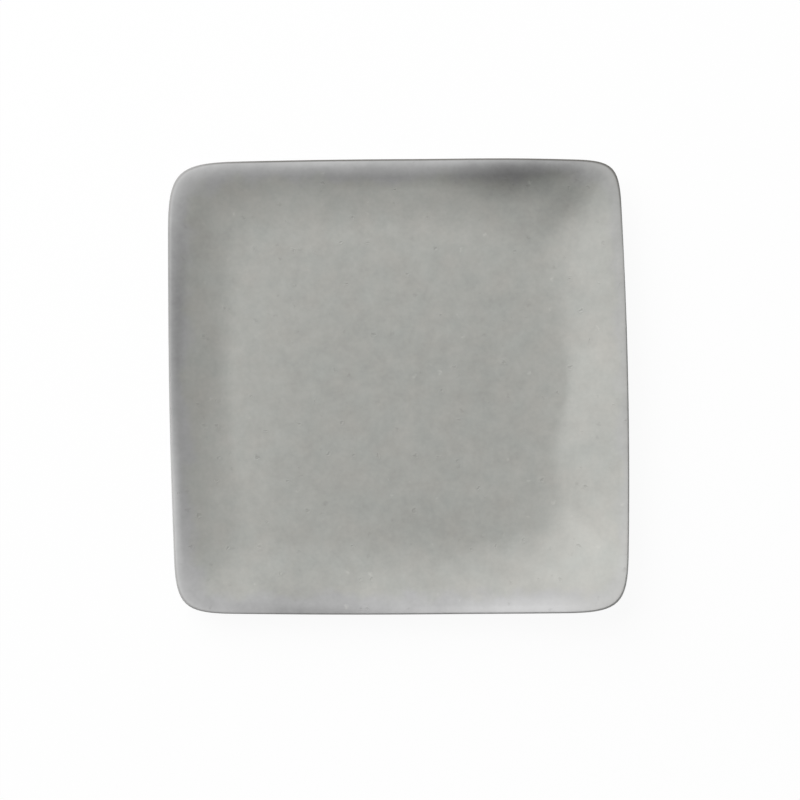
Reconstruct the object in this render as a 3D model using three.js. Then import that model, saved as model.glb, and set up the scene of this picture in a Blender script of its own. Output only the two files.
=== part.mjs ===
// A hand-formed square dinner plate in stoneware, in millimetres, +Z up.
// A sheet of clay, pressed so that its walls turn up round a level well, carries a square foot ring that is
// luted to its underside with slip. A satin glaze coats the face, the rim and the outside down to the foot,
// and the panel inside the foot. The plate stands on z = 0, with its middle over the origin. Every piece is
// a cross-section carried round one outline, and neighbours share the points of the face where they meet.
import * as THREE from "three";
import { mergeVertices } from "three/addons/utils/BufferGeometryUtils.js";

// Outline: a square whose corners and sides each have their own drift, rounding and bow
const SIDE = 257.2; // between neighbouring corner points, before the sides bow out
const CORNERS = [
  { right: 1, back: -1, drift: [2.3, 0.9], setback: 35.3 }, // front right
  { right: 1, back: 1, drift: [-2.9, 0.1], setback: 26.3 }, // back right
  { right: -1, back: 1, drift: [-2.5, -1.1], setback: 39.1 }, // back left
  { right: -1, back: -1, drift: [1.9, -0.3], setback: 32.7 }, // front left
];
const BOWS = [1.66, 1.05, 0.79, 0.83]; // right, back, left and front side
const CORNER_FULLNESS = 0.85; // share of the setback that a corner keeps its side's direction

// The sheet of clay and its glaze
const CLAY_THICKNESS = 4.8; // under the well, without the glaze
const GLAZE = 0.4;
const RIM_THICKNESS = 3.6; // at the rim, with the glaze
const RIM_REACH = 0.7; // how far the rim's rounded edge stands out

// The walls at eleven places, by each one's share of the way round from the front right corner. An inset is
// measured inwards from the rim's outer edge, and slopes are in degrees. The level well ends at the edge;
// foot, middle and shoulder are an inset with the wall's slope there, and the last slope is the rim's own.
const WALLS = [
  { round: 0.035, edge: 46, foot: [35, 16], middle: [24, 23], shoulder: [5, 26], rim: 12 }, // front right
  { round: 0.062, edge: 41, foot: [33, 17], middle: [20, 24], shoulder: [5, 27], rim: 11 }, // right front
  { round: 0.092, edge: 46, foot: [37, 14], middle: [22, 22], shoulder: [5, 24], rim: 10 }, // right bulge
  { round: 0.155, edge: 35, foot: [30, 21], middle: [20, 27], shoulder: [5, 26], rim: 9 }, // right
  { round: 0.285, edge: 48, foot: [32, 15], middle: [16, 25], shoulder: [8, 15], rim: -8 }, // back right
  { round: 0.332, edge: 42, foot: [26, 14], middle: [16, 26], shoulder: [9.5, 43], rim: -6 }, // pressed up
  { round: 0.4, edge: 40, foot: [28, 10], middle: [18, 14], shoulder: [10.5, 29], rim: -6 }, // back
  { round: 0.53, edge: 42, foot: [28, 13], middle: [16, 23], shoulder: [9, 20], rim: -8 }, // back left
  { round: 0.66, edge: 36, foot: [26, 18], middle: [16, 22], shoulder: [5, 26], rim: 13 }, // left
  { round: 0.78, edge: 44, foot: [32, 10], middle: [18, 14], shoulder: [8, 11], rim: 2 }, // front left
  { round: 0.93, edge: 42, foot: [28, 7], middle: [16, 14], shoulder: [4, 22], rim: 10 }, // front
];

// Foot ring
const FOOT_LEDGE = 2; // level base outside the ring
const FOOT_WIDTH = 6;
const FOOT_HEIGHT = 3;
const FOOT_EDGE = 0.8; // rounding beside the standing face
const SLIP_BED = 0.4; // slip between ring and slab
const WIPED = 0.5; // bare band above the rounding, where the glaze was sponged off

// Facets
const CORNER_STEPS = 9;
const SIDE_STEPS = 8;
const WALL_STEPS = 2;
const RIM_STEPS = 8;
const EDGE_STEPS = 3;

// Levels and places that follow from the sizes above
const HALF = SIDE / 2;
const SHEET = CLAY_THICKNESS + 2 * GLAZE;
const BASE_Z = FOOT_HEIGHT + SLIP_BED;
const WELL_Z = BASE_Z + CLAY_THICKNESS + GLAZE;
const FOOT_INSET = Math.max(...WALLS.map(({ edge }) => edge)) + FOOT_LEDGE;
const FOOT_INNER = FOOT_INSET + FOOT_WIDTH;
const GLAZE_LINE = FOOT_EDGE + WIPED;

const at = (inset, z) => new THREE.Vector2(inset, z);

// The rim's outline as one closed run of curves, anticlockwise from the front right corner.
function outlineCurves() {
  const corners = CORNERS.map(
    ({ right, back, drift }) => new THREE.Vector2(right * HALF + drift[0], back * HALF + drift[1]),
  );
  const next = (i) => (i + 1) % corners.length;
  const sides = corners.map((corner, i) => {
    const along = corners[next(i)].clone().sub(corner);
    const run = along.length() - CORNERS[i].setback - CORNERS[next(i)].setback;
    along.normalize();
    // A shallow bow leaves its chord at four times its rise over its run.
    const lean = Math.atan2(4 * BOWS[i], run);
    const pivot = new THREE.Vector2();
    return {
      run,
      start: corner.clone().addScaledVector(along, CORNERS[i].setback),
      end: corners[next(i)].clone().addScaledVector(along, -CORNERS[next(i)].setback),
      leaving: along.clone().rotateAround(pivot, -lean),
      arriving: along.clone().rotateAround(pivot, lean),
    };
  });
  return sides.flatMap((side, i) => {
    const before = sides[(i + sides.length - 1) % sides.length];
    const reach = CORNERS[i].setback * CORNER_FULLNESS;
    const corner = new THREE.CubicBezierCurve(
      before.end,
      before.end.clone().addScaledVector(before.arriving, reach),
      side.start.clone().addScaledVector(side.leaving, -reach),
      side.start,
    );
    const straight = new THREE.CubicBezierCurve(
      side.start,
      side.start.clone().addScaledVector(side.leaving, side.run / 3),
      side.end.clone().addScaledVector(side.arriving, -side.run / 3),
      side.end,
    );
    return [
      { curve: corner, steps: CORNER_STEPS },
      { curve: straight, steps: SIDE_STEPS },
    ];
  });
}

// Stations round the outline, each with its place and its share of the way round.
function placeStations() {
  const curves = outlineCurves();
  const lengths = curves.map(({ curve }) => curve.getLength());
  const girth = lengths.reduce((sum, length) => sum + length);
  let passed = 0;
  return curves.flatMap(({ curve, steps }, i) => {
    const start = passed;
    passed += lengths[i];
    return curve
      .getSpacedPoints(steps)
      .slice(0, -1)
      .map((place, k) => ({ place, round: (start + (lengths[i] * k) / steps) / girth }));
  });
}

const stations = placeStations();

// The glazed sheet's surface at one of the walls, sunk by a depth: up the face from the well's edge, round
// the rim's edge and down the outside to the base. The slope changes evenly from each inset to the next.
function wallSkin({ edge, foot, middle, shoulder, rim }, depth) {
  const lean = THREE.MathUtils.degToRad(rim);
  const half = RIM_THICKNESS / 2;
  const rimInset = Math.hypot(RIM_REACH * Math.cos(lean), half * Math.sin(lean)) + half * Math.sin(lean);
  const knots = [[edge, 0], foot, middle, shoulder, [rimInset, rim]].map(([inset, degrees]) => ({
    inset,
    slope: Math.tan(THREE.MathUtils.degToRad(degrees)),
  }));
  const face = [];
  const outside = [];
  const addPoint = (inset, z, slope) => {
    const square = new THREE.Vector2(slope, 1).normalize();
    const thickness = THREE.MathUtils.mapLinear(inset, edge, rimInset, SHEET, RIM_THICKNESS);
    face.push(at(inset, z).addScaledVector(square, -depth));
    outside.unshift(at(inset, z).addScaledVector(square, depth - thickness));
  };
  let level = WELL_Z;
  addPoint(edge, level, 0);
  knots.slice(1).forEach((end, i) => {
    const start = knots[i];
    const run = start.inset - end.inset;
    const change = end.slope - start.slope;
    for (let k = 1; k <= WALL_STEPS; k += 1) {
      const t = k / WALL_STEPS;
      const rise = run * (start.slope * t + (change * t * t) / 2);
      addPoint(start.inset - run * t, level + rise, start.slope + change * t);
    }
    level += (run * (start.slope + end.slope)) / 2;
  });
  const centre = face.at(-1).clone().lerp(outside[0], 0.5);
  const roundEdge = new THREE.EllipseCurve(
    centre.x, centre.y, half - depth, RIM_REACH - depth, 0, Math.PI, false, Math.PI / 2 - lean,
  );
  return [...face, ...roundEdge.getPoints(RIM_STEPS).slice(1, -1), ...outside];
}

// The same surface at any share of the way round, where one wall's shape runs into the next one's.
function skin(round, depth) {
  const turn = (share) => THREE.MathUtils.euclideanModulo(share - WALLS[0].round, 1);
  const here = WALLS.findLastIndex((wall) => turn(wall.round) <= turn(round));
  const there = (here + 1) % WALLS.length;
  const end = there === 0 ? 1 : turn(WALLS[there].round);
  const blend = THREE.MathUtils.smoothstep(turn(round), turn(WALLS[here].round), end);
  const target = wallSkin(WALLS[there], depth);
  return wallSkin(WALLS[here], depth).map((point, i) => point.lerp(target[i], blend));
}

// A closed solid from a section that is carried round the outline. A section lists points of inset and
// height, clockwise from the well; a point on the plate's middle is the same for every station.
function carryRound(sectionAt) {
  const sections = stations.map(({ place, round }) =>
    sectionAt(round).map(({ x: inset, y: z }) => {
      const share = 1 - inset / HALF;
      return new THREE.Vector3(place.x * share, place.y * share, z);
    }),
  );
  const points = [];
  const addTriangle = (a, b, c) => {
    if (a.equals(b) || b.equals(c) || c.equals(a)) return;
    points.push(a, b, c);
  };
  sections.forEach((section, i) => {
    const beside = sections[(i + 1) % sections.length];
    section.forEach((a, row) => {
      const after = (row + 1) % section.length;
      const b = section[after];
      const c = beside[after];
      const d = beside[row];
      // Split along the shorter diagonal, so that touching pieces split their shared face alike.
      if (a.distanceTo(c) < b.distanceTo(d)) {
        addTriangle(a, b, c);
        addTriangle(a, c, d);
      } else {
        addTriangle(a, b, d);
        addTriangle(b, c, d);
      }
    });
  });
  const geometry = mergeVertices(new THREE.BufferGeometry().setFromPoints(points));
  geometry.computeVertexNormals();
  return geometry;
}

// The pressed slab: well, walls and rim in one sheet of clay.
function clayBody() {
  return carryRound((round) => [
    at(HALF, WELL_Z - GLAZE),
    ...skin(round, GLAZE),
    at(HALF, BASE_Z),
  ]);
}

// Glaze over the face and the rim, down the outside and onto the foot as far as the wiped band.
function faceGlaze() {
  return carryRound((round) => [
    at(HALF, WELL_Z),
    ...skin(round, 0),
    at(FOOT_INSET - GLAZE, BASE_Z - GLAZE),
    at(FOOT_INSET - GLAZE, GLAZE_LINE),
    at(FOOT_INSET, GLAZE_LINE),
    at(FOOT_INSET, BASE_Z),
    ...skin(round, GLAZE).reverse(),
    at(HALF, WELL_Z - GLAZE),
  ]);
}

// Glaze on the panel inside the foot, turned down the ring's inner face as far as the wiped band.
function baseGlaze() {
  return carryRound(() => [
    at(HALF, BASE_Z),
    at(FOOT_INNER, BASE_Z),
    at(FOOT_INNER, GLAZE_LINE),
    at(FOOT_INNER + GLAZE, GLAZE_LINE),
    at(FOOT_INNER + GLAZE, BASE_Z - GLAZE),
    at(HALF, BASE_Z - GLAZE),
  ]);
}

// The slip that lutes the ring to the slab.
function slipJoint() {
  return carryRound(() => [
    at(FOOT_INNER, BASE_Z),
    at(FOOT_INSET, BASE_Z),
    at(FOOT_INSET, FOOT_HEIGHT),
    at(FOOT_INNER, FOOT_HEIGHT),
  ]);
}

// The ring that the plate stands on, rounded on both sides of its standing face.
function footRing() {
  const quarter = Math.PI / 2;
  const outerEdge = new THREE.EllipseCurve(
    FOOT_INSET + FOOT_EDGE, FOOT_EDGE, FOOT_EDGE, FOOT_EDGE, 2 * quarter, 3 * quarter, false, 0,
  );
  const innerEdge = new THREE.EllipseCurve(
    FOOT_INNER - FOOT_EDGE, FOOT_EDGE, FOOT_EDGE, FOOT_EDGE, 3 * quarter, 4 * quarter, false, 0,
  );
  return carryRound(() => [
    at(FOOT_INNER, FOOT_HEIGHT),
    at(FOOT_INSET, FOOT_HEIGHT),
    ...outerEdge.getPoints(EDGE_STEPS),
    ...innerEdge.getPoints(EDGE_STEPS),
  ]);
}

function piece(name, geometry, color, roughness) {
  const material = new THREE.MeshStandardMaterial({ color, roughness, metalness: 0 });
  const mesh = new THREE.Mesh(geometry, material);
  mesh.name = name;
  return mesh;
}

const plate = new THREE.Group();
plate.name = "square_plate";
plate.add(
  piece("clay_body", clayBody(), 0xa79f92, 0.9),
  piece("foot_ring", footRing(), 0xa79f92, 0.9),
  piece("slip_joint", slipJoint(), 0x9c9488, 0.9),
  piece("face_glaze", faceGlaze(), 0xa5a6a1, 0.45),
  piece("base_glaze", baseGlaze(), 0xa5a6a1, 0.45),
);

export default plate;
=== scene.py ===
import math

import bpy
from mathutils import Matrix, Vector


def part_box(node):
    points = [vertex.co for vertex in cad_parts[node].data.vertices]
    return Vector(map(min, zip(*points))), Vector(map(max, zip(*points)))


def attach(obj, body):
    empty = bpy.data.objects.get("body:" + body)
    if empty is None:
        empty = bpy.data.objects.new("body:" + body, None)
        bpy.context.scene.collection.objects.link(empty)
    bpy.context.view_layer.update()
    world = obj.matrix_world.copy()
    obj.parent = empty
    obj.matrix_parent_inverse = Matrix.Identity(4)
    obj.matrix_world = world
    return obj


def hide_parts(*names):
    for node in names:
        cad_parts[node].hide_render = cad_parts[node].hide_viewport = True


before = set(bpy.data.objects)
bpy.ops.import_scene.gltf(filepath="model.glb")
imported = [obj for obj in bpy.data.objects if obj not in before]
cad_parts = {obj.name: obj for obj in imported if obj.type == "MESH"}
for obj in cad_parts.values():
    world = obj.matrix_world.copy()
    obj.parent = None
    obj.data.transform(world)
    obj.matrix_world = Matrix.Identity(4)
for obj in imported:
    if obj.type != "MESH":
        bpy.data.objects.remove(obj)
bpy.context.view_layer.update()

# The slab: a sheet of buff stoneware clay, rolled out and pressed over a square form, so that its walls turn
# up round a level well. It is trimmed and sponged by hand, so no two corners or walls are quite alike.
MM = 0.001
SIDE = 257.2 * MM
HALF = SIDE / 2
CORNERS = [
    {"right": 1, "back": -1, "drift": (2.3 * MM, 0.9 * MM), "setback": 35.3 * MM},
    {"right": 1, "back": 1, "drift": (-2.9 * MM, 0.1 * MM), "setback": 26.3 * MM},
    {"right": -1, "back": 1, "drift": (-2.5 * MM, -1.1 * MM), "setback": 39.1 * MM},
    {"right": -1, "back": -1, "drift": (1.9 * MM, -0.3 * MM), "setback": 32.7 * MM},
]
BOWS = [1.66 * MM, 1.05 * MM, 0.79 * MM, 0.83 * MM]
CORNER_FULLNESS = 0.85
OUTLINE_STEPS = 48


def rim_outline():
    """The rim's edge seen from above: one closed curve with two points for each corner."""
    corners = [
        Vector((c["right"] * HALF + c["drift"][0], c["back"] * HALF + c["drift"][1], 0)) for c in CORNERS
    ]
    sides = []
    for i, corner in enumerate(corners):
        after = (i + 1) % len(corners)
        along = (corners[after] - corner).normalized()
        start = corner + along * CORNERS[i]["setback"]
        end = corners[after] - along * CORNERS[after]["setback"]
        run = (end - start).length
        lean = math.atan2(4 * BOWS[i], run)
        leaving = Matrix.Rotation(-lean, 3, "Z") @ along
        arriving = Matrix.Rotation(lean, 3, "Z") @ along
        sides.append({"start": start, "end": end, "run": run, "leaving": leaving, "arriving": arriving})
    curve = bpy.data.curves.new("rim_outline", "CURVE")
    curve.dimensions = "3D"
    curve.resolution_u = OUTLINE_STEPS
    spline = curve.splines.new("BEZIER")
    spline.bezier_points.add(2 * len(corners) - 1)
    spline.use_cyclic_u = True
    for i, side in enumerate(sides):
        before = sides[i - 1]
        reach = CORNERS[i]["setback"] * CORNER_FULLNESS
        into, out = spline.bezier_points[2 * i : 2 * i + 2]
        into.co = before["end"]
        into.handle_left = before["end"] - before["arriving"] * before["run"] / 3
        into.handle_right = before["end"] + before["arriving"] * reach
        out.co = side["start"]
        out.handle_left = side["start"] - side["leaving"] * reach
        out.handle_right = side["start"] + side["leaving"] * side["run"] / 3
    outline = bpy.data.objects.new("rim_outline", curve)
    bpy.context.scene.collection.objects.link(outline)
    return outline


outline = rim_outline()
drawn_curves = [outline]

# Levels of the clay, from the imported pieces, and the thickness of its sheet with the glaze on both sides
BASE_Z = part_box("clay_body")[0].z
FOOT_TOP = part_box("foot_ring")[1].z
GLAZE = 0.4 * MM
CLAY = 4.8 * MM
SHEET = CLAY + 2 * GLAZE
WELL_Z = BASE_Z + CLAY + GLAZE
# The rim: a softly rounded edge, a touch of which the sponge takes off
RIM_THICKNESS = 3.6 * MM
RIM_REACH = 0.7 * MM
SPONGED = 0.06 * MM
# The walls at eleven places: the share of the way round from the front right corner, the slope at the rim
# in degrees, and the slopes at a few insets from the well's edge outwards. One shape runs into the next.
WALLS = {
    "front right": {
        "round": 0.035, "rim": 12, "slopes": [(46 * MM, 0), (35 * MM, 16), (24 * MM, 23), (5 * MM, 26)],
    },
    "right front": {
        "round": 0.062, "rim": 11, "slopes": [(41 * MM, 0), (33 * MM, 17), (20 * MM, 24), (5 * MM, 27)],
    },
    "right bulge": {
        "round": 0.092, "rim": 10, "slopes": [(46 * MM, 0), (37 * MM, 14), (22 * MM, 22), (5 * MM, 24)],
    },
    "right": {
        "round": 0.155, "rim": 9, "slopes": [(35 * MM, 0), (30 * MM, 21), (20 * MM, 27), (5 * MM, 26)],
    },
    "back right": {
        "round": 0.285, "rim": -8, "slopes": [(48 * MM, 0), (32 * MM, 15), (16 * MM, 25), (8 * MM, 15)],
    },
    "pressed up": {
        "round": 0.332, "rim": -6, "slopes": [(42 * MM, 0), (26 * MM, 14), (16 * MM, 26), (9.5 * MM, 43)],
    },
    "back": {
        "round": 0.4, "rim": -6, "slopes": [(40 * MM, 0), (28 * MM, 10), (18 * MM, 14), (10.5 * MM, 29)],
    },
    "back left": {
        "round": 0.53, "rim": -8, "slopes": [(42 * MM, 0), (28 * MM, 13), (16 * MM, 23), (9 * MM, 20)],
    },
    "left": {
        "round": 0.66, "rim": 13, "slopes": [(36 * MM, 0), (26 * MM, 18), (16 * MM, 22), (5 * MM, 26)],
    },
    "front left": {
        "round": 0.78, "rim": 2, "slopes": [(44 * MM, 0), (32 * MM, 10), (18 * MM, 14), (8 * MM, 11)],
    },
    "front": {
        "round": 0.93, "rim": 10, "slopes": [(42 * MM, 0), (28 * MM, 7), (16 * MM, 14), (4 * MM, 22)],
    },
}
WALL_ROWS = 8
RIM_ROWS = 18


def at(inset, z):
    return Vector((inset, 0, z))


def straight(start, end, rows):
    return [start.lerp(end, k / rows) for k in range(rows + 1)]


def joined(*runs):
    """Runs put end to end, with the points where they meet kept once."""
    points = list(runs[0])
    for run in runs[1:]:
        points += run[1:]
    return points


def skin(wall, depth):
    """The sheet's surface, sunk by a depth: up the face from the well's edge, round the rim's edge and down
    the outside to the base. The slope changes evenly from each inset to the next."""
    rim = math.radians(wall["rim"])
    half = RIM_THICKNESS / 2
    knots = [(inset, math.tan(math.radians(slope))) for inset, slope in wall["slopes"]]
    reach = math.hypot(RIM_REACH * math.cos(rim), half * math.sin(rim))
    knots.append((SPONGED + reach + half * math.sin(rim), math.tan(rim)))
    edge, level = knots[0][0], WELL_Z
    face, outside = [at(edge, level - depth)], [at(edge, level - SHEET + depth)]
    for (inset, slope), (next_inset, next_slope) in zip(knots, knots[1:]):
        run, change = inset - next_inset, next_slope - slope
        for k in range(1, WALL_ROWS + 1):
            t = k / WALL_ROWS
            point = at(inset - run * t, level + run * (slope * t + change * t * t / 2))
            square = Vector((slope + change * t, 0, 1)).normalized()
            thinned = (edge - point.x) / (edge - knots[-1][0])
            thickness = SHEET + (RIM_THICKNESS - SHEET) * thinned
            face.append(point - square * depth)
            outside.append(point - square * (thickness - depth))
        level += run * (slope + next_slope) / 2
    middle = (face[-1] + outside[-1]) / 2
    outwards, up = at(-math.cos(rim), math.sin(rim)), at(math.sin(rim), math.cos(rim))
    turn = []
    for k in range(RIM_ROWS + 1):
        angle = math.pi * k / RIM_ROWS
        turn.append(
            middle + up * (half - depth) * math.cos(angle) + outwards * (RIM_REACH - depth) * math.sin(angle)
        )
    return joined(face, turn, outside[::-1])


def section_curve(name, points):
    """A section's points as a curve that the tree below can read: X is the inset and Z the height."""
    curve = bpy.data.curves.new(name, "CURVE")
    curve.dimensions = "3D"
    spline = curve.splines.new("POLY")
    spline.points.add(len(points) - 1)
    for target, point in zip(spline.points, points):
        target.co = (*point, 1)
    section = bpy.data.objects.new(name, curve)
    bpy.context.scene.collection.objects.link(section)
    drawn_curves.append(section)
    return section


def add(tree, kind, inputs=None, **settings):
    """A new node with its settings, whose inputs take a number, a colour or another node's output."""
    made = tree.nodes.new(kind)
    for key, value in settings.items():
        setattr(made, key, value)
    for key, value in (inputs or {}).items():
        if isinstance(value, bpy.types.NodeSocket):
            tree.links.new(value, made.inputs[key])
        else:
            made.inputs[key].default_value = value
    return made


WELD = 0.001 * MM


def carry_round_tree():
    """Carries a section round the rim's outline: a grid of stations and section points set to its place."""
    tree = bpy.data.node_groups.new("carry_round", "GeometryNodeTree")
    kinds = {"Geometry": "Geometry", "Outline": "Object"}
    kinds.update({"Section " + place: "Object" for place in WALLS})
    kinds.update({"Stations": "Int", "Half": "Float", "Waver": "Float", "Waver size": "Float"})
    kinds.update({"Waver from": "Float", "Waver to": "Float", "Material": "Material"})
    for name, kind in kinds.items():
        tree.interface.new_socket(name, in_out="INPUT", socket_type="NodeSocket" + kind)
    tree.interface.new_socket("Geometry", in_out="OUTPUT", socket_type="NodeSocketGeometry")
    given = add(tree, "NodeGroupInput").outputs

    # A grid with a column for each station round the outline and a row for each point of the section
    shapes = {}
    for name in ["Outline"] + ["Section " + place for place in WALLS]:
        shapes[name] = add(tree, "GeometryNodeObjectInfo", {"Object": given[name]}).outputs["Geometry"]
    rows = add(
        tree, "GeometryNodeAttributeDomainSize", {"Geometry": shapes["Section right"]}, component="CURVE"
    ).outputs["Point Count"]
    columns = add(tree, "ShaderNodeMath", {0: given["Stations"], 1: 1}, operation="ADD").outputs[0]
    grid = add(tree, "GeometryNodeMeshGrid", {"Vertices X": columns, "Vertices Y": rows}).outputs
    share = add(tree, "ShaderNodeSeparateXYZ", {0: grid["UV Map"]}).outputs
    last_row = add(tree, "ShaderNodeMath", {0: rows, 1: 1}, operation="SUBTRACT").outputs[0]
    row = add(tree, "ShaderNodeMath", {0: share["Y"], 1: last_row}, operation="MULTIPLY").outputs[0]
    row = add(tree, "ShaderNodeMath", {0: row}, operation="ROUND").outputs[0]
    station = add(
        tree, "GeometryNodeSampleCurve", {"Curves": shapes["Outline"], "Factor": share["X"]},
        mode="FACTOR", use_all_curves=True,
    ).outputs

    # The section's point at each place of the walls, blended from one place to the next
    position = add(tree, "GeometryNodeInputPosition").outputs[0]
    points = []
    for place in WALLS:
        points.append(
            add(
                tree, "GeometryNodeSampleIndex",
                {"Geometry": shapes["Section " + place], "Value": position, "Index": row},
                data_type="FLOAT_VECTOR", domain="POINT",
            ).outputs[0]
        )
    rounds = [wall["round"] for wall in WALLS.values()]
    turn = add(tree, "ShaderNodeMath", {0: share["X"], 1: rounds[0]}, operation="SUBTRACT").outputs[0]
    turn = add(tree, "ShaderNodeMath", {0: turn}, operation="FRACT").outputs[0]
    point = points[0]
    for here, there, target in zip(rounds, rounds[1:] + [1 + rounds[0]], points[1:] + points[:1]):
        blend = add(
            tree, "ShaderNodeMapRange",
            {"Value": turn, "From Min": here - rounds[0], "From Max": there - rounds[0]},
            interpolation_type="SMOOTHSTEP",
        ).outputs[0]
        change = add(tree, "ShaderNodeVectorMath", {0: target, 1: point}, operation="SUBTRACT").outputs[0]
        point = add(
            tree, "ShaderNodeVectorMath", {0: change, 1: blend, 2: point}, operation="MULTIPLY_ADD"
        ).outputs[0]

    # The outline drawn in by the inset, at the section's height; the glaze reads the inset later
    spot = add(tree, "ShaderNodeSeparateXYZ", {0: point}).outputs
    inward = add(tree, "ShaderNodeMath", {0: spot["X"], 1: given["Half"]}, operation="DIVIDE").outputs[0]
    scale = add(tree, "ShaderNodeMath", {0: 1.0, 1: inward}, operation="SUBTRACT").outputs[0]
    height = add(tree, "ShaderNodeCombineXYZ", {"Z": spot["Z"]}).outputs[0]
    place = add(
        tree, "ShaderNodeVectorMath", {0: station["Position"], 1: scale, 2: height}, operation="MULTIPLY_ADD"
    ).outputs[0]
    mesh = add(
        tree, "GeometryNodeStoreNamedAttribute",
        {"Geometry": grid["Mesh"], "Name": "inset", "Value": spot["X"]}, data_type="FLOAT", domain="POINT",
    ).outputs[0]
    mesh = add(tree, "GeometryNodeSetPosition", {"Geometry": mesh, "Position": place}).outputs[0]

    # The waver of the hand-pressed surface, which leaves the base level
    flat = add(tree, "ShaderNodeVectorMath", {0: position, 1: (1, 1, 0)}, operation="MULTIPLY").outputs[0]
    detail = add(tree, "ShaderNodeMath", {0: 1.0, 1: given["Waver size"]}, operation="DIVIDE").outputs[0]
    noise = add(
        tree, "ShaderNodeTexNoise", {"Vector": flat, "Scale": detail, "Detail": 2.0, "Roughness": 0.45}
    ).outputs[0]
    level = add(tree, "ShaderNodeSeparateXYZ", {0: position}).outputs["Z"]
    hold = add(
        tree, "ShaderNodeMapRange",
        {"Value": level, "From Min": given["Waver from"], "From Max": given["Waver to"]},
        interpolation_type="SMOOTHSTEP",
    ).outputs[0]
    drop = add(tree, "ShaderNodeMath", {0: noise, 1: hold}, operation="MULTIPLY").outputs[0]
    drop = add(tree, "ShaderNodeMath", {0: drop, 1: given["Waver"]}, operation="MULTIPLY").outputs[0]
    drop = add(tree, "ShaderNodeMath", {0: drop, 1: -1.0}, operation="MULTIPLY").outputs[0]
    shift = add(tree, "ShaderNodeCombineXYZ", {"Z": drop}).outputs[0]
    mesh = add(tree, "GeometryNodeSetPosition", {"Geometry": mesh, "Offset": shift}).outputs[0]

    mesh = add(tree, "GeometryNodeMergeByDistance", {"Geometry": mesh, "Distance": WELD}).outputs[0]
    mesh = add(tree, "GeometryNodeFlipFaces", {"Mesh": mesh}).outputs[0]
    mesh = add(tree, "GeometryNodeRealizeInstances", {"Geometry": mesh}).outputs[0]
    mesh = add(tree, "GeometryNodeSetMaterial", {"Geometry": mesh, "Material": given["Material"]}).outputs[0]
    add(tree, "NodeGroupOutput", {"Geometry": mesh})
    return tree


carry_round = carry_round_tree()
STATIONS = 400
WAVER = 0.25 * MM
WAVER_SIZE = 60 * MM
WAVER_FROM = BASE_Z + 0.3 * CLAY
WAVER_TO = BASE_Z + 0.9 * CLAY
CREASE = math.radians(40)


def carried(name, sections, material):
    """A closed piece made by carrying its section round the outline, as a plain mesh."""
    piece = bpy.data.objects.new(name, bpy.data.meshes.new(name))
    bpy.context.scene.collection.objects.link(piece)
    modifier = piece.modifiers.new("carry_round", "NODES")
    modifier.node_group = carry_round
    values = {
        "Outline": outline, "Stations": STATIONS, "Half": HALF, "Waver": WAVER, "Waver size": WAVER_SIZE,
        "Waver from": WAVER_FROM, "Waver to": WAVER_TO, "Material": material,
    }
    for place in WALLS:
        values["Section " + place] = sections[place]
    for item in carry_round.interface.items_tree:
        if item.in_out == "INPUT" and item.name in values:
            modifier[item.identifier] = values[item.name]
    ready = piece.evaluated_get(bpy.context.evaluated_depsgraph_get())
    mesh = bpy.data.meshes.new_from_object(ready)
    piece.modifiers.clear()
    piece.data = mesh
    mesh.name = name
    mesh.shade_smooth()
    mesh.set_sharp_from_angle(angle=CREASE)
    return piece


def linear(code):
    """An sRGB hex colour as the linear colour that a shader takes."""
    parts = [int(code[i : i + 2], 16) / 255 for i in (1, 3, 5)]
    return (*[c / 12.92 if c <= 0.04045 else ((c + 0.055) / 1.055) ** 2.4 for c in parts], 1.0)


# Bare stoneware, fired without glaze: the eye gets a dry, matt, sandy buff that is a little clouded,
# with dark grit of iron in it. A Mix node's two colours are its inputs 6 and 7.
def bare_stoneware(name, pale, deep):
    GRAIN = 0.6 * MM
    CLOUD = 14 * MM
    GRIT_CELL = 2.2 * MM
    GRIT = 0.35 * MM
    GRIT_CORE = 0.4 * GRIT
    TOOTH = 0.03 * MM
    LEAST_TONE = 0.22
    material = bpy.data.materials.new(name)
    material.use_nodes = True
    tree = material.node_tree
    shader = tree.nodes["Principled BSDF"]
    coords = add(tree, "ShaderNodeTexCoord").outputs["Object"]
    cloud = add(tree, "ShaderNodeTexNoise", {"Vector": coords, "Scale": 1 / CLOUD, "Detail": 4.0}).outputs[0]
    grain = add(tree, "ShaderNodeTexNoise", {"Vector": coords, "Scale": 1 / GRAIN, "Detail": 2.0}).outputs[0]
    tone = add(
        tree, "ShaderNodeMath", {0: cloud, 1: grain, 2: LEAST_TONE}, operation="MULTIPLY_ADD"
    ).outputs[0]
    body = add(
        tree, "ShaderNodeMix", {0: tone, 6: linear(deep), 7: linear(pale)}, data_type="RGBA"
    ).outputs[2]
    cells = add(tree, "ShaderNodeTexVoronoi", {"Vector": coords, "Scale": 1 / GRIT_CELL}).outputs
    grit = add(
        tree, "ShaderNodeMapRange",
        {"Value": cells["Distance"], "From Min": GRIT / GRIT_CELL, "From Max": GRIT_CORE / GRIT_CELL},
        interpolation_type="SMOOTHSTEP",
    ).outputs[0]
    grit = add(tree, "ShaderNodeMath", {0: grit, 1: cells["Color"]}, operation="MULTIPLY").outputs[0]
    colour = add(
        tree, "ShaderNodeMix", {0: grit, 6: body, 7: linear("#5B4E41")}, data_type="RGBA"
    ).outputs[2]
    tree.links.new(colour, shader.inputs["Base Color"])
    shader.inputs["Roughness"].default_value = 0.88
    shader.inputs["IOR"].default_value = 1.5
    depth = add(tree, "ShaderNodeMath", {0: grain, 1: TOOTH}, operation="MULTIPLY").outputs[0]
    bump = add(tree, "ShaderNodeBump", {"Height": depth, "Distance": 1.0}).outputs[0]
    tree.links.new(bump, shader.inputs["Normal"])
    return material


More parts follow.
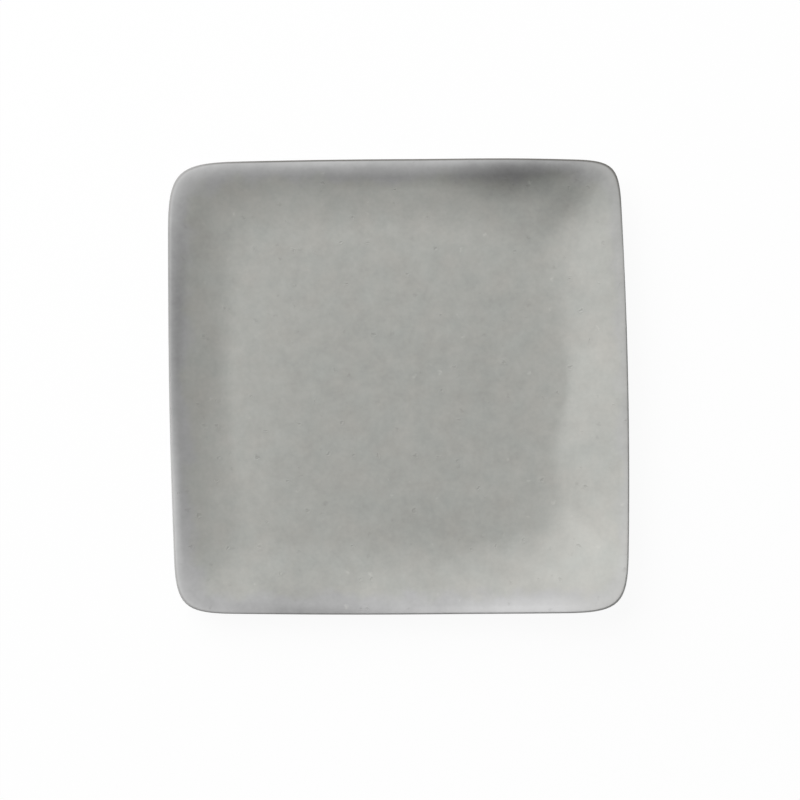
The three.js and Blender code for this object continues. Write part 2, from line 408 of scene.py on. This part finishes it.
buff_stoneware = bare_stoneware("bare_buff_stoneware", pale="#B5AC9E", deep="#988F82")
WELL_ROWS = 30
BASE_ROWS = 3
sections = {}
for place, wall in WALLS.items():
    clay = skin(wall, GLAZE)
    clay_well = straight(at(HALF, WELL_Z - GLAZE), clay[0], WELL_ROWS)
    clay_base = straight(clay[-1], at(HALF, BASE_Z), BASE_ROWS)
    sections[place] = section_curve("slab_section", joined(clay_well, clay, clay_base))
slab = carried("clay_slab", sections, buff_stoneware)
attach(slab, "root")
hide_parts("clay_body")

# The foot ring: a square ring of the same clay, on which the plate stands. Its standing face and the band
# above it are sponged clean of glaze, so that it doesn't stick to the kiln shelf, and fire bare and sandy.
FOOT_LEDGE = 2 * MM
FOOT_INSET = max(wall["slopes"][0][0] for wall in WALLS.values()) + FOOT_LEDGE
FOOT_WIDTH = 6 * MM
FOOT_INNER = FOOT_INSET + FOOT_WIDTH
FOOT_EDGE = 0.8 * MM
EDGE_ROWS = 6
foot_points = [at(FOOT_INNER, FOOT_TOP), at(FOOT_INSET, FOOT_TOP)]
for centre, first in ((FOOT_INSET + FOOT_EDGE, 180), (FOOT_INNER - FOOT_EDGE, 270)):
    for k in range(EDGE_ROWS + 1):
        angle = math.radians(first + 90 * k / EDGE_ROWS)
        foot_points.append(at(centre + FOOT_EDGE * math.cos(angle), FOOT_EDGE + FOOT_EDGE * math.sin(angle)))
foot_points.append(foot_points[0])
sections = dict.fromkeys(WALLS, section_curve("foot_section", foot_points))
foot = carried("foot_ring_bare", sections, buff_stoneware)
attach(foot, "root")
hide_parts("foot_ring")

# The slip joint: liquid clay brushed between ring and slab when both are leather-hard. It fires into a thin
# bed that locks them together, and both glazes run over its edges.
# Fired slip is the same matt clay, a shade darker. The glazes cover its edges, so the eye gets none of it.
slip_clay = bare_stoneware("fired_slip", pale="#A59C90", deep="#8C8479")
slip_points = [
    at(FOOT_INNER, BASE_Z), at(FOOT_INSET, BASE_Z), at(FOOT_INSET, FOOT_TOP), at(FOOT_INNER, FOOT_TOP),
]
slip_points.append(slip_points[0])
sections = dict.fromkeys(WALLS, section_curve("slip_section", slip_points))
slip = carried("slip_bed", sections, slip_clay)
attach(slip, "root")
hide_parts("slip_joint")

# The glaze under the plate: the panel inside the foot takes the same dip as the face, and its glaze turns
# down the ring's inner side as far as the sponged band.
WIPED = 0.5 * MM
GLAZE_LINE = FOOT_EDGE + WIPED
# How far out from the middle a place begins to count as a side of the plate, or as its back
NEAR_SIDE = 0.7 * HALF
NEAR_BACK = 0.6 * HALF
# The shares of its width between which a soft border fades
FADE_FROM = 1.4
FADE_TO = 0.6
# The iron of the clay, as specks show it; the pinholes' pits darken towards the same grey as painted shade
IRON_AND_PIT_SHADE = linear("#66655F")


def clouded_tone(tree, coords, mottle):
    """The dip's tone, from 0 for deep to 1 for pale: broad clouds, patches and a fine mottle."""
    CLOUD = 60 * MM
    CLOUD_PLACE = (0, 0, 689 * MM)
    CLOUD_TONE = 0.38
    PATCH = 9 * MM
    PATCH_TONE = 0.5
    MOTTLE_TONE = 0.38
    FIRST_TONE = -0.12
    moved = add(tree, "ShaderNodeMapping", {"Vector": coords, "Location": CLOUD_PLACE}).outputs[0]
    cloud = add(tree, "ShaderNodeTexNoise", {"Vector": moved, "Scale": 1 / CLOUD, "Detail": 3.0}).outputs[0]
    patch = add(tree, "ShaderNodeTexNoise", {"Vector": coords, "Scale": 1 / PATCH, "Detail": 2.0}).outputs[0]
    tone = FIRST_TONE
    for noise, weight in ((cloud, CLOUD_TONE), (patch, PATCH_TONE), (mottle, MOTTLE_TONE)):
        tone = add(
            tree, "ShaderNodeMath", {0: noise, 1: weight, 2: tone}, operation="MULTIPLY_ADD"
        ).outputs[0]
    return tone


def thinned_tone(tree, spot, inset, lip, tone):
    """Paler up the walls, where the glaze runs thin, and on the rim's lip, with a painted highlight along
    the left edge, which faces the light.
    """
    THIN_FROM = 75 * MM
    THIN_TO = 22 * MM
    THIN_TONE = 0.16
    LIP_TONE = 0.25
    EDGE_HIGHLIGHT = 3 * MM
    EDGE_HIGHLIGHT_TOP = 0.25 * EDGE_HIGHLIGHT
    EDGE_HIGHLIGHT_TONE = 0.5
    thinned = add(
        tree, "ShaderNodeMapRange",
        {"Value": inset, "From Min": THIN_FROM, "From Max": THIN_TO, "To Max": THIN_TONE},
        interpolation_type="SMOOTHSTEP",
    ).outputs[0]
    tone = add(tree, "ShaderNodeMath", {0: tone, 1: thinned}, operation="ADD").outputs[0]
    tone = add(tree, "ShaderNodeMath", {0: lip, 1: LIP_TONE, 2: tone}, operation="MULTIPLY_ADD").outputs[0]
    # Painted highlight: a pale line just inside the left edge, the side that faces the light
    left = add(
        tree, "ShaderNodeMapRange",
        {"Value": spot["X"], "From Min": -NEAR_SIDE, "From Max": -HALF, "To Max": EDGE_HIGHLIGHT_TONE},
    ).outputs[0]
    painted_edge_highlight = add(
        tree, "ShaderNodeMapRange",
        {"Value": inset, "From Min": EDGE_HIGHLIGHT, "From Max": EDGE_HIGHLIGHT_TOP, "To Max": left},
        interpolation_type="SMOOTHSTEP",
    ).outputs[0]
    return add(tree, "ShaderNodeMath", {0: tone, 1: painted_edge_highlight}, operation="ADD").outputs[0]


def painted_light_and_shade_tone(tree, coords, lip, tone):
    """Painted shade and painted light: soft ovals, deeper with a tone below 0 and paler above it, given by
    their middle and reach. They darken the shaded back right corner, the back and the left, and lighten the
    front right corner, the right wall and stretches of the rim where these face the light. Those of the
    second list show on the rim's lip alone."""
    # Painted shade where the tone is below 0, and painted light where it is above
    PAINTED_SHADE_AND_LIGHT = [
        {"place": (66 * MM, 118 * MM), "reach": (52 * MM, 16 * MM), "tone": -0.7},
        {"place": (80 * MM, 96 * MM), "reach": (44 * MM, 32 * MM), "tone": -0.28},
        {"place": (106 * MM, 114 * MM), "reach": (34 * MM, 34 * MM), "tone": -0.4},
        {"place": (-114 * MM, 85 * MM), "reach": (50 * MM, 50 * MM), "tone": -0.15},
        {"place": (-62 * MM, 106 * MM), "reach": (34 * MM, 18 * MM), "tone": 0.2},
        {"place": (60 * MM, 126 * MM), "reach": (48 * MM, 8 * MM), "tone": -0.5},
        {"place": (-126.5 * MM, 50 * MM), "reach": (9 * MM, 78 * MM), "tone": -0.6},
        {"place": (76 * MM, -124 * MM), "reach": (66 * MM, 9 * MM), "tone": 0.5},
        {"place": (-130 * MM, -106 * MM), "reach": (26 * MM, 40 * MM), "tone": 0.5},
        {"place": (-55 * MM, -124 * MM), "reach": (50 * MM, 50 * MM), "tone": -0.4},
        {"place": (36 * MM, -80 * MM), "reach": (66 * MM, 28 * MM), "tone": -0.18},
        {"place": (118 * MM, 6 * MM), "reach": (22 * MM, 40 * MM), "tone": 0.14},
        {"place": (122 * MM, -92 * MM), "reach": (64 * MM, 64 * MM), "tone": 0.4},
    ]
    # Painted highlight and painted shade on the rim's lip
    LIP_PAINTED_LIGHT_AND_SHADE = [
        {"place": (-128 * MM, -66 * MM), "reach": (60 * MM, 60 * MM), "tone": 0.9},
        {"place": (74 * MM, -128 * MM), "reach": (80 * MM, 80 * MM), "tone": 0.35},
        {"place": (-45 * MM, 128 * MM), "reach": (40 * MM, 40 * MM), "tone": 0.3},
        {"place": (-128 * MM, 65 * MM), "reach": (70 * MM, 70 * MM), "tone": -0.25},
        {"place": (-45 * MM, -128 * MM), "reach": (75 * MM, 75 * MM), "tone": -0.4},
        {"place": (130 * MM, 0), "reach": (50 * MM, 50 * MM), "tone": -0.25},
    ]
    for run in PAINTED_SHADE_AND_LIGHT + LIP_PAINTED_LIGHT_AND_SHADE:
        middle = (*run["place"], WELL_Z)
        reach = (*run["reach"], max(run["reach"]))
        share = lip if run in LIP_PAINTED_LIGHT_AND_SHADE else 1.0
        away = add(tree, "ShaderNodeVectorMath", {0: coords, 1: middle}, operation="SUBTRACT").outputs[0]
        away = add(tree, "ShaderNodeVectorMath", {0: away, 1: reach}, operation="DIVIDE").outputs[0]
        away = add(tree, "ShaderNodeVectorMath", {0: away}, operation="LENGTH").outputs["Value"]
        change = add(
            tree, "ShaderNodeMapRange",
            {"Value": away, "From Min": 1.0, "From Max": 0.0, "To Max": run["tone"]},
            interpolation_type="SMOOTHSTEP",
        ).outputs[0]
        tone = add(
            tree, "ShaderNodeMath", {0: change, 1: share, 2: tone}, operation="MULTIPLY_ADD"
        ).outputs[0]
    return tone


def drained_grey(tree, coords, spot, inset, tone):
    """The glaze's grey: a little green, with a drift of hue given as factors on red, green and blue. Along
    the rim it has drained to a neutral grey, up to a ragged line, least of all on the right."""
    WARMER = (1.035, 1, 0.99, 1)
    COOLER = (0.965, 1, 1.01, 1)
    RAGGED = 16 * MM
    RAGGEDNESS = 2.0
    DRAINED = 11 * MM
    DRAINED_RIGHT = 5 * MM
    RIGHT_STRENGTH = 0.5
    body = add(
        tree, "ShaderNodeMix", {0: tone, 6: linear("#8B8C88"), 7: linear("#B0B0AB")},
        data_type="RGBA", clamp_factor=False,
    ).outputs[2]
    ragged = add(tree, "ShaderNodeTexNoise", {"Vector": coords, "Scale": 1 / RAGGED, "Detail": 3.0}).outputs
    hue = add(tree, "ShaderNodeSeparateColor", {0: ragged[1]}).outputs["Green"]
    tint = add(tree, "ShaderNodeMix", {0: hue, 6: WARMER, 7: COOLER}, data_type="RGBA").outputs[2]
    body = add(
        tree, "ShaderNodeMix", {0: 1.0, 6: body, 7: tint}, data_type="RGBA", blend_type="MULTIPLY"
    ).outputs[2]
    bare = add(
        tree, "ShaderNodeMix", {0: tone, 6: linear("#8B8B8B"), 7: linear("#AFAFAF")},
        data_type="RGBA", clamp_factor=False,
    ).outputs[2]
    right = {"Value": spot["X"], "From Min": NEAR_SIDE, "From Max": HALF}
    width = add(
        tree, "ShaderNodeMapRange", {**right, "To Min": DRAINED, "To Max": DRAINED_RIGHT}
    ).outputs[0]
    strength = add(
        tree, "ShaderNodeMapRange", {**right, "To Min": 1.0, "To Max": RIGHT_STRENGTH}
    ).outputs[0]
    inwards = add(tree, "ShaderNodeMath", {0: inset, 1: width}, operation="DIVIDE").outputs[0]
    line = add(tree, "ShaderNodeMath", {0: ragged[0], 1: 0.5}, operation="SUBTRACT").outputs[0]
    line = add(
        tree, "ShaderNodeMath", {0: line, 1: RAGGEDNESS, 2: inwards}, operation="MULTIPLY_ADD"
    ).outputs[0]
    drained = add(
        tree, "ShaderNodeMapRange",
        {"Value": line, "From Min": FADE_FROM, "From Max": FADE_TO, "To Max": strength},
        interpolation_type="SMOOTHSTEP",
    ).outputs[0]
    return add(tree, "ShaderNodeMix", {0: drained, 6: body, 7: bare}, data_type="RGBA").outputs[2]


def broken_edge(tree, spot, edge, body):
    """The very edge, where the glaze breaks over the clay and lets its iron through, most at the back."""
    BACK_BREAK = 1.0
    LEFT_BREAK = 0.4
    FRONT_BREAK = 0.15
    left = {"Value": spot["X"], "From Min": -HALF, "To Min": LEFT_BREAK}
    along_front = add(
        tree, "ShaderNodeMapRange", {**left, "From Max": -NEAR_SIDE, "To Max": FRONT_BREAK}
    ).outputs[0]
    along_back = add(
        tree, "ShaderNodeMapRange", {**left, "From Max": -NEAR_BACK, "To Max": BACK_BREAK}
    ).outputs[0]
    back = {"Value": spot["Y"], "From Min": NEAR_BACK, "From Max": HALF}
    thin = add(
        tree, "ShaderNodeMapRange", {**back, "To Min": along_front, "To Max": along_back}
    ).outputs[0]
    broken = add(tree, "ShaderNodeMath", {0: edge, 1: thin}, operation="MULTIPLY").outputs[0]
    return add(
        tree, "ShaderNodeMix", {0: broken, 6: body, 7: linear("#605E5A")}, data_type="RGBA"
    ).outputs[2]


def specks(tree, stirred, held, body):
    """Specks of iron, and pale ones of ash, of many sizes and with ragged edges, most of them faint. They
    are drawn coarser than real ones, so that they show."""
    ASH = linear("#D6D6D0")
    SPECK_CELL = 13 * MM
    SPECK = 1.9 * MM
    SPECK_STRENGTH = 0.24
    CELLS_BARE = 0.3
    CELLS_IRON = 0.6
    cells = add(
        tree, "ShaderNodeTexVoronoi", {"Vector": stirred, "Scale": 1 / SPECK_CELL}, voronoi_dimensions="2D"
    ).outputs
    chance = add(tree, "ShaderNodeSeparateColor", {0: cells["Color"]}).outputs
    size = add(
        tree, "ShaderNodeMapRange",
        {"Value": chance["Red"], "From Min": CELLS_BARE, "From Max": 1.0, "To Max": SPECK / SPECK_CELL},
    ).outputs[0]
    inside = add(tree, "ShaderNodeMath", {0: size, 1: cells["Distance"]}, operation="SUBTRACT").outputs[0]
    speck = add(
        tree, "ShaderNodeMapRange",
        {"Value": inside, "From Min": 0.0, "From Max": SPECK / SPECK_CELL, "To Max": SPECK_STRENGTH},
        interpolation_type="SMOOTHSTEP",
    ).outputs[0]
    speck = add(tree, "ShaderNodeMath", {0: speck, 1: held}, operation="MULTIPLY").outputs[0]
    ashy = add(
        tree, "ShaderNodeMath", {0: chance["Blue"], 1: CELLS_IRON}, operation="GREATER_THAN"
    ).outputs[0]
    fleck = add(tree, "ShaderNodeMix", {0: ashy, 6: IRON_AND_PIT_SHADE, 7: ASH}, data_type="RGBA").outputs[2]
    return add(tree, "ShaderNodeMix", {0: speck, 6: body, 7: fleck}, data_type="RGBA").outputs[2]


def pinholes(tree, stirred, held):
    """How far a spot lies down a pinhole's pit, and how far up its raised lip, in some of the cells. They
    are drawn wider than real ones, so that they show, and measured in the pit's own radius."""
    PIN_CELL = 17 * MM
    PIN = 1.3 * MM
    CELLS_WHOLE = 0.35
    CELLS_WIDEST = 0.8
    LEAST_RADIUS = 0.001
    LIP_SHARE = 0.5
    cells = add(
        tree, "ShaderNodeTexVoronoi", {"Vector": stirred, "Scale": 1 / PIN_CELL}, voronoi_dimensions="2D"
    ).outputs
    chance = add(tree, "ShaderNodeSeparateColor", {0: cells["Color"]}).outputs["Green"]
    radius = add(
        tree, "ShaderNodeMapRange",
        {
            "Value": chance, "From Min": CELLS_WHOLE, "From Max": CELLS_WIDEST,
            "To Min": LEAST_RADIUS, "To Max": PIN / PIN_CELL,
        },
    ).outputs[0]
    ring = add(tree, "ShaderNodeMath", {0: cells["Distance"], 1: radius}, operation="DIVIDE").outputs[0]
    raised = add(
        tree, "ShaderNodeMapRange", {"Value": ring, "From Min": 1.9, "From Max": 0.9, "To Max": LIP_SHARE},
        interpolation_type="SMOOTHSTEP",
    ).outputs[0]
    raised = add(tree, "ShaderNodeMath", {0: raised, 1: held}, operation="MULTIPLY").outputs[0]
    pit = add(
        tree, "ShaderNodeMapRange", {"Value": ring, "From Min": 1.0, "From Max": 0.3, "To Max": held},
        interpolation_type="SMOOTHSTEP",
    ).outputs[0]
    return pit, raised


# Satin grey stoneware glaze, dipped: the eye gets a soft broad sheen over a grey that is paler where the
# glaze thins up the walls, clouded by the dip and drained along the rim, with faint specks and a few
# pinholes.
# Painted shade and painted light darken and lighten it in places, and a painted highlight runs along the
# left edge.
def satin_glaze(name):
    MOTTLE = 2.4 * MM
    LIP = 6 * MM
    LIP_TOP = 0.25 * LIP
    BREAK = 1.1 * MM
    STIR = 2 * MM
    PIN_DEPTH = 0.1 * MM
    PIN_SHADE = 0.12
    PEEL = 1.8 * MM
    PEEL_DEPTH = 0.008 * MM
    GLOSSIEST = 0.5
    DULLEST = 0.6
    material = bpy.data.materials.new(name)
    material.use_nodes = True
    tree = material.node_tree
    shader = tree.nodes["Principled BSDF"]
    coords = add(tree, "ShaderNodeTexCoord").outputs["Object"]
    spot = add(tree, "ShaderNodeSeparateXYZ", {0: coords}).outputs
    inset = add(
        tree, "ShaderNodeAttribute", attribute_name="inset", attribute_type="GEOMETRY"
    ).outputs["Fac"]
    mottle = add(
        tree, "ShaderNodeTexNoise", {"Vector": coords, "Scale": 1 / MOTTLE, "Detail": 2.0}
    ).outputs[0]
    lip = add(
        tree, "ShaderNodeMapRange", {"Value": inset, "From Min": LIP, "From Max": LIP_TOP},
        interpolation_type="SMOOTHSTEP",
    ).outputs[0]
    tone = clouded_tone(tree, coords, mottle)
    tone = thinned_tone(tree, spot, inset, lip, tone)
    # Painted shade and painted light, laid into the glaze's tone as soft ovals
    tone = painted_light_and_shade_tone(tree, coords, lip, tone)
    body = drained_grey(tree, coords, spot, inset, tone)

    # The very edge is broken, and its glaze is too thin to hold specks and pinholes
    edge = add(
        tree, "ShaderNodeMapRange",
        {"Value": inset, "From Min": FADE_FROM * BREAK, "From Max": FADE_TO * BREAK},
        interpolation_type="SMOOTHSTEP",
    ).outputs[0]
    held = add(tree, "ShaderNodeMath", {0: 1.0, 1: edge}, operation="SUBTRACT").outputs[0]
    body = broken_edge(tree, spot, edge, body)

    # Specks and pinholes, on places stirred a little so that their edges come out ragged
    stir = add(tree, "ShaderNodeTexNoise", {"Vector": coords, "Scale": 1 / STIR, "Detail": 1.0}).outputs[1]
    stirred = add(
        tree, "ShaderNodeVectorMath", {0: stir, 1: (2 * STIR, 2 * STIR, 0), 2: coords},
        operation="MULTIPLY_ADD",
    ).outputs[0]
    body = specks(tree, stirred, held, body)
    pit, raised = pinholes(tree, stirred, held)
    # Painted shade: the pinholes' pits darken towards the iron grey, as shade in the hollows
    shade = add(tree, "ShaderNodeMath", {0: pit, 1: PIN_SHADE}, operation="MULTIPLY").outputs[0]
    body = add(tree, "ShaderNodeMix", {0: shade, 6: body, 7: IRON_AND_PIT_SHADE}, data_type="RGBA").outputs[2]
    tree.links.new(body, shader.inputs["Base Color"])

    # The surface: pinholes and a very slight orange peel, with a satin gloss that follows the mottle
    height = add(tree, "ShaderNodeMath", {0: raised, 1: pit}, operation="SUBTRACT").outputs[0]
    height = add(tree, "ShaderNodeMath", {0: height, 1: PIN_DEPTH}, operation="MULTIPLY").outputs[0]
    peel = add(tree, "ShaderNodeTexNoise", {"Vector": coords, "Scale": 1 / PEEL, "Detail": 1.0}).outputs[0]
    height = add(
        tree, "ShaderNodeMath", {0: peel, 1: PEEL_DEPTH, 2: height}, operation="MULTIPLY_ADD"
    ).outputs[0]
    bump = add(tree, "ShaderNodeBump", {"Height": height, "Distance": 1.0}).outputs[0]
    tree.links.new(bump, shader.inputs["Normal"])
    gloss = add(
        tree, "ShaderNodeMapRange",
        {"Value": mottle, "From Min": 0.3, "From Max": 0.7, "To Min": GLOSSIEST, "To Max": DULLEST},
    ).outputs[0]
    tree.links.new(gloss, shader.inputs["Roughness"])
    shader.inputs["IOR"].default_value = 1.5
    return material


grey_glaze = satin_glaze("satin_grey_glaze")
PANEL_ROWS = 6
TURN_ROWS = 2


def through(corners):
    """Straight runs from each corner of a turn to the next."""
    return joined(*[straight(here, there, TURN_ROWS) for here, there in zip(corners, corners[1:])])


panel_turn = [
    at(FOOT_INNER, BASE_Z),
    at(FOOT_INNER, GLAZE_LINE),
    at(FOOT_INNER + GLAZE, GLAZE_LINE),
    at(FOOT_INNER + GLAZE, BASE_Z - GLAZE),
]
panel_points = joined(
    straight(at(HALF, BASE_Z), panel_turn[0], PANEL_ROWS),
    through(panel_turn),
    straight(panel_turn[-1], at(HALF, BASE_Z - GLAZE), PANEL_ROWS),
)
sections = dict.fromkeys(WALLS, section_curve("panel_section", panel_points))
panel = carried("panel_glaze", sections, grey_glaze)
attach(panel, "root")
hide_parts("base_glaze")

# The glaze of the face: one dip covers the well, the walls, the rim and the outside, and runs down the foot
# ring to the sponged band. It is what the eye sees of the plate from above.
sections = {}
for place, wall in WALLS.items():
    glazed, clay = skin(wall, 0), skin(wall, GLAZE)
    foot_turn = [
        glazed[-1],
        at(FOOT_INSET - GLAZE, BASE_Z - GLAZE),
        at(FOOT_INSET - GLAZE, GLAZE_LINE),
        at(FOOT_INSET, GLAZE_LINE),
        at(FOOT_INSET, BASE_Z),
        clay[-1],
    ]
    face_points = joined(
        straight(at(HALF, WELL_Z), glazed[0], WELL_ROWS),
        glazed,
        through(foot_turn),
        clay[::-1],
        straight(clay[0], at(HALF, WELL_Z - GLAZE), WELL_ROWS),
    )
    sections[place] = section_curve("face_section", face_points)
face = carried("face_glaze_skin", sections, grey_glaze)
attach(face, "root")
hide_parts("face_glaze")
for curve in drawn_curves:
    bpy.data.objects.remove(curve)

# The stage: a white floor under the plate's foot. It stays white to the eye apart from the plate's soft
# shadow, and a white surround closes it off at low angles.
FLOOR_HALF = 6.0
GLOW_SHARE = 0.94
FILL = 0.20


def seen_directly(tree):
    """1 for what the eye sees, also in a reflection or through glass, and 0 for what only casts light."""
    rays = add(tree, "ShaderNodeLightPath").outputs
    seen = rays["Is Camera Ray"]
    for ray in ("Is Glossy Ray", "Is Transmission Ray"):
        seen = add(tree, "ShaderNodeMath", {0: seen, 1: rays[ray]}, operation="ADD").outputs[0]
    return seen


floor_mesh = bpy.data.meshes.new("floor")
floor_corners = [(x * FLOOR_HALF, y * FLOOR_HALF, 0) for x, y in ((-1, -1), (1, -1), (1, 1), (-1, 1))]
floor_mesh.from_pydata(floor_corners, [], [(0, 1, 2, 3)])
floor = bpy.data.objects.new("floor", floor_mesh)
bpy.context.scene.collection.objects.link(floor)
white_floor = bpy.data.materials.new("white_floor")
white_floor.use_nodes = True
tree = white_floor.node_tree
tree.nodes.remove(tree.nodes["Principled BSDF"])
seen = seen_directly(tree)
share = add(tree, "ShaderNodeMath", {0: seen, 1: GLOW_SHARE}, operation="MULTIPLY").outputs[0]
paint = add(tree, "ShaderNodeBsdfDiffuse", {"Color": linear("#F9F9F9")}).outputs[0]
glow = add(tree, "ShaderNodeEmission", {"Color": linear("#FFFFFF"), "Strength": 1.0}).outputs[0]
surface = add(tree, "ShaderNodeMixShader", {0: share, 1: paint, 2: glow}).outputs[0]
tree.links.new(surface, tree.nodes["Material Output"].inputs["Surface"])
floor_mesh.materials.append(white_floor)

world = bpy.data.worlds.new("studio")
world.use_nodes = True
bpy.context.scene.world = world
tree = world.node_tree
seen = seen_directly(tree)
strength = add(tree, "ShaderNodeMapRange", {"Value": seen, "To Min": FILL, "To Max": 1.0}).outputs[0]
background = tree.nodes["Background"]
background.inputs["Color"].default_value = linear("#FFFFFF")
tree.links.new(strength, background.inputs["Strength"])

# The light: one large softbox at the back left, so that the left and back walls fall into shade and the
# right and front walls catch the light.
KEY_AZIMUTH = math.radians(130)
KEY_ELEVATION = math.radians(40)
KEY_DISTANCE = 4.0
KEY_SIZE = 4.0
KEY_POWER = 238
key_data = bpy.data.lights.new("softbox", "AREA")
key_data.shape = "SQUARE"
key_data.size = KEY_SIZE
key_data.energy = KEY_POWER
key = bpy.data.objects.new("softbox", key_data)
key.location = KEY_DISTANCE * Vector((
    math.cos(KEY_AZIMUTH) * math.cos(KEY_ELEVATION),
    math.sin(KEY_AZIMUTH) * math.cos(KEY_ELEVATION),
    math.sin(KEY_ELEVATION),
))
key.rotation_euler = (-key.location).to_track_quat("-Z", "Y").to_euler()
bpy.context.scene.collection.objects.link(key)

# The camera: straight above the plate, as in the photograph, with a long lens. The plate lies a little
# above the middle of the picture, and its scale holds at about the height of the rim.
LENS = 100
SENSOR = 36
PICTURE = 800
MM_PER_PIXEL = 0.5659 * MM
PLATE_PIXEL = (398.2, 387.0)
RIM_RISE = 8.5 * MM
RIM_Z = WELL_Z + RIM_RISE
camera_data = bpy.data.cameras.new("camera")
camera_data.lens = LENS
camera_data.sensor_width = SENSOR
camera = bpy.data.objects.new("camera", camera_data)
camera.location = (
    (PICTURE / 2 - PLATE_PIXEL[0]) * MM_PER_PIXEL,
    (PLATE_PIXEL[1] - PICTURE / 2) * MM_PER_PIXEL,
    RIM_Z + PICTURE * MM_PER_PIXEL * LENS / SENSOR,
)
bpy.context.scene.collection.objects.link(camera)
bpy.context.scene.camera = camera
bpy.context.scene.view_settings.view_transform = "Standard"
